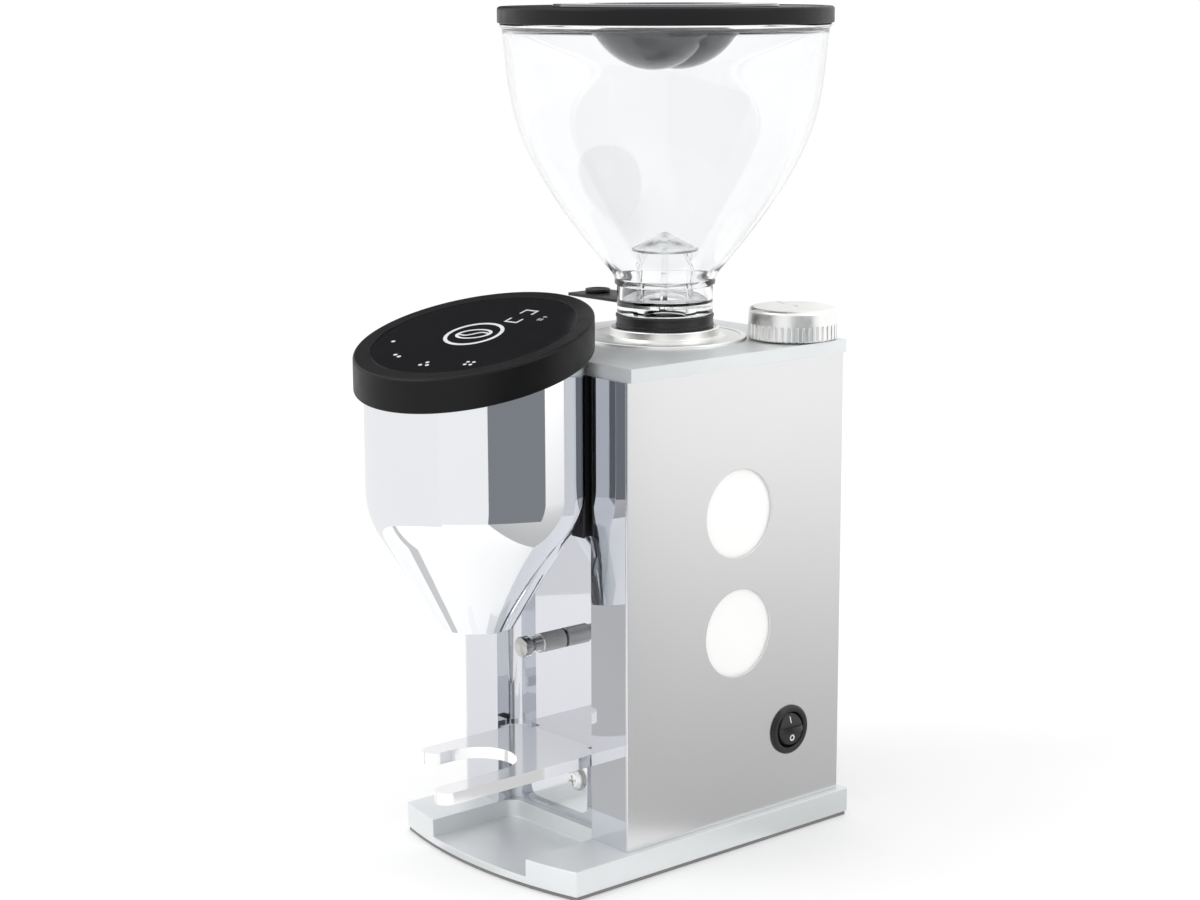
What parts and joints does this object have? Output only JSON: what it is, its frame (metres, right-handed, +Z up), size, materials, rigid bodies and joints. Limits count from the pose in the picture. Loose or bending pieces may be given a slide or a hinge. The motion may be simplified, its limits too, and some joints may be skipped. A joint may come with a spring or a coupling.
{
  "type": "burr coffee grinder",
  "caption": "Upright burr coffee grinder: polished case, clear bean hopper with gate, conical spout with tilted touch cap, and a fork for a filter holder.",
  "frame": {"origin": "on the table under the middle of the base plate's straight sides", "axes": "+Z up, -Y towards the spout and fork, +X towards the panel with the rocker switch"},
  "size_m": [0.1676, 0.2648, 0.4209],
  "materials": {
    "satin_aluminium": "satin, fine blasted",
    "mirror_steel": "mirror polished",
    "brushed_steel": "fine vertical brushing",
    "window_disc": "bright white gloss",
    "machined_aluminium": "turned, bright",
    "black_plastic": "fine satin",
    "clear_plastic": "clear, polished",
    "smoked_plastic": "smoked, polished",
    "black_glass": "gloss black",
    "rubber": "matt",
    "structure_steel": "zinc plated",
    "screw_steel": "plated",
    "motor_black": "satin black",
    "cast_aluminium": "as cast",
    "lamination": "laminated steel",
    "copper": "enamelled winding",
    "burr_steel": "hardened, ground",
    "brass": "turned",
    "white_plastic": "satin",
    "circuit_board": "solder resist"
  },
  "bodies": {
    "case": {"base_plate": "satin_aluminium", "sole_pad": "rubber", "frame_posts": "structure_steel", "frame_screws": "screw_steel", "motor_deck": "structure_steel", "front_panel": "mirror_steel", "rear_panel": "brushed_steel", "side_panel_right": "brushed_steel", "side_panel_left": "brushed_steel", "window_discs_right": "window_disc", "window_discs_left": "window_disc", "cover_plate": "satin_aluminium", "cover_standoffs": "structure_steel", "cover_bolts": "screw_steel", "motor_can": "motor_black", "motor_end_bells": "cast_aluminium", "motor_bearings": "screw_steel", "motor_stator": "lamination", "motor_windings": "copper", "grind_chamber": "cast_aluminium", "chamber_bolts": "screw_steel", "adjust_bush": "brass", "burr_flange": "machined_aluminium", "collar_ring": "black_plastic", "hopper": "clear_plastic", "hopper_guard": "clear_plastic", "grounds_chute": "black_plastic", "spout_shell": "mirror_steel", "spout_block": "black_plastic", "cap_ring": "black_plastic", "touch_glass": "black_glass", "touch_board": "circuit_board", "fork": "mirror_steel", "fork_screws": "screw_steel", "fork_washers": "screw_steel", "pin_nut": "screw_steel", "switch_bezel": "black_plastic", "mains_inlet": "black_plastic", "panel_screws": "screw_steel", "run_capacitor": "white_plastic", "capacitor_clip": "structure_steel", "control_board": "circuit_board"},
    "lid": {"lid_rim": "black_plastic", "lid_dish": "smoked_plastic", "lid_seal": "rubber"},
    "gate": {"gate_slide": "black_plastic", "gate_grip": "black_plastic"},
    "drive": {"motor_rotor": "lamination", "motor_shaft": "screw_steel", "cooling_fan": "black_plastic", "lower_burr_carrier": "cast_aluminium", "lower_burr": "burr_steel", "carrier_nut": "screw_steel"},
    "adjust_ring": {"upper_burr_carrier": "machined_aluminium", "upper_burr": "burr_steel"},
    "knob": {"adjust_knob": "machined_aluminium", "adjust_shaft": "screw_steel", "adjust_pinion": "brass"},
    "rocker": {"switch_rocker": "black_plastic"},
    "rest_pin_body": {"rest_pin": "mirror_steel"}
  },
  "joints": [
    {"name": "lid_lift", "type": "slide", "parent": "case", "child": "lid", "axis": [0, 0, 1], "range_m": [0, 0.1]},
    {"name": "gate_push", "type": "slide", "parent": "case", "child": "gate", "axis": [1, 0, 0], "range_m": [0, 0.0205]},
    {"name": "drive_spin", "type": "hinge", "parent": "case", "child": "drive", "pos_m": [0, 0.0245, 0.2], "axis": [0, 0, 1], "continuous": true},
    {"name": "ring_turn", "type": "hinge", "parent": "case", "child": "adjust_ring", "pos_m": [0, 0.0245, 0.24], "axis": [0, 0, 1], "range_deg": [-90, 90]},
    {"name": "knob_turn", "type": "hinge", "parent": "case", "child": "knob", "pos_m": [0.04596, 0.07046, 0.26], "axis": [0, 0, 1], "range_deg": [-335.45, 335.45]},
    {"name": "rocker_tilt", "type": "hinge", "parent": "case", "child": "rocker", "pos_m": [0.0612, 0.053, 0.0544], "axis": [0, 1, 0], "range_deg": [0, 16]},
    {"name": "pin_turn", "type": "hinge", "parent": "case", "child": "rest_pin_body", "pos_m": [0, -0.0447, 0.1077], "axis": [0, -1, 0], "range_deg": [-180, 180]}
  ],
  "couplings": [
    {"joint": "knob_turn", "follows": "ring_turn", "ratio": -3.7273}
  ]
}
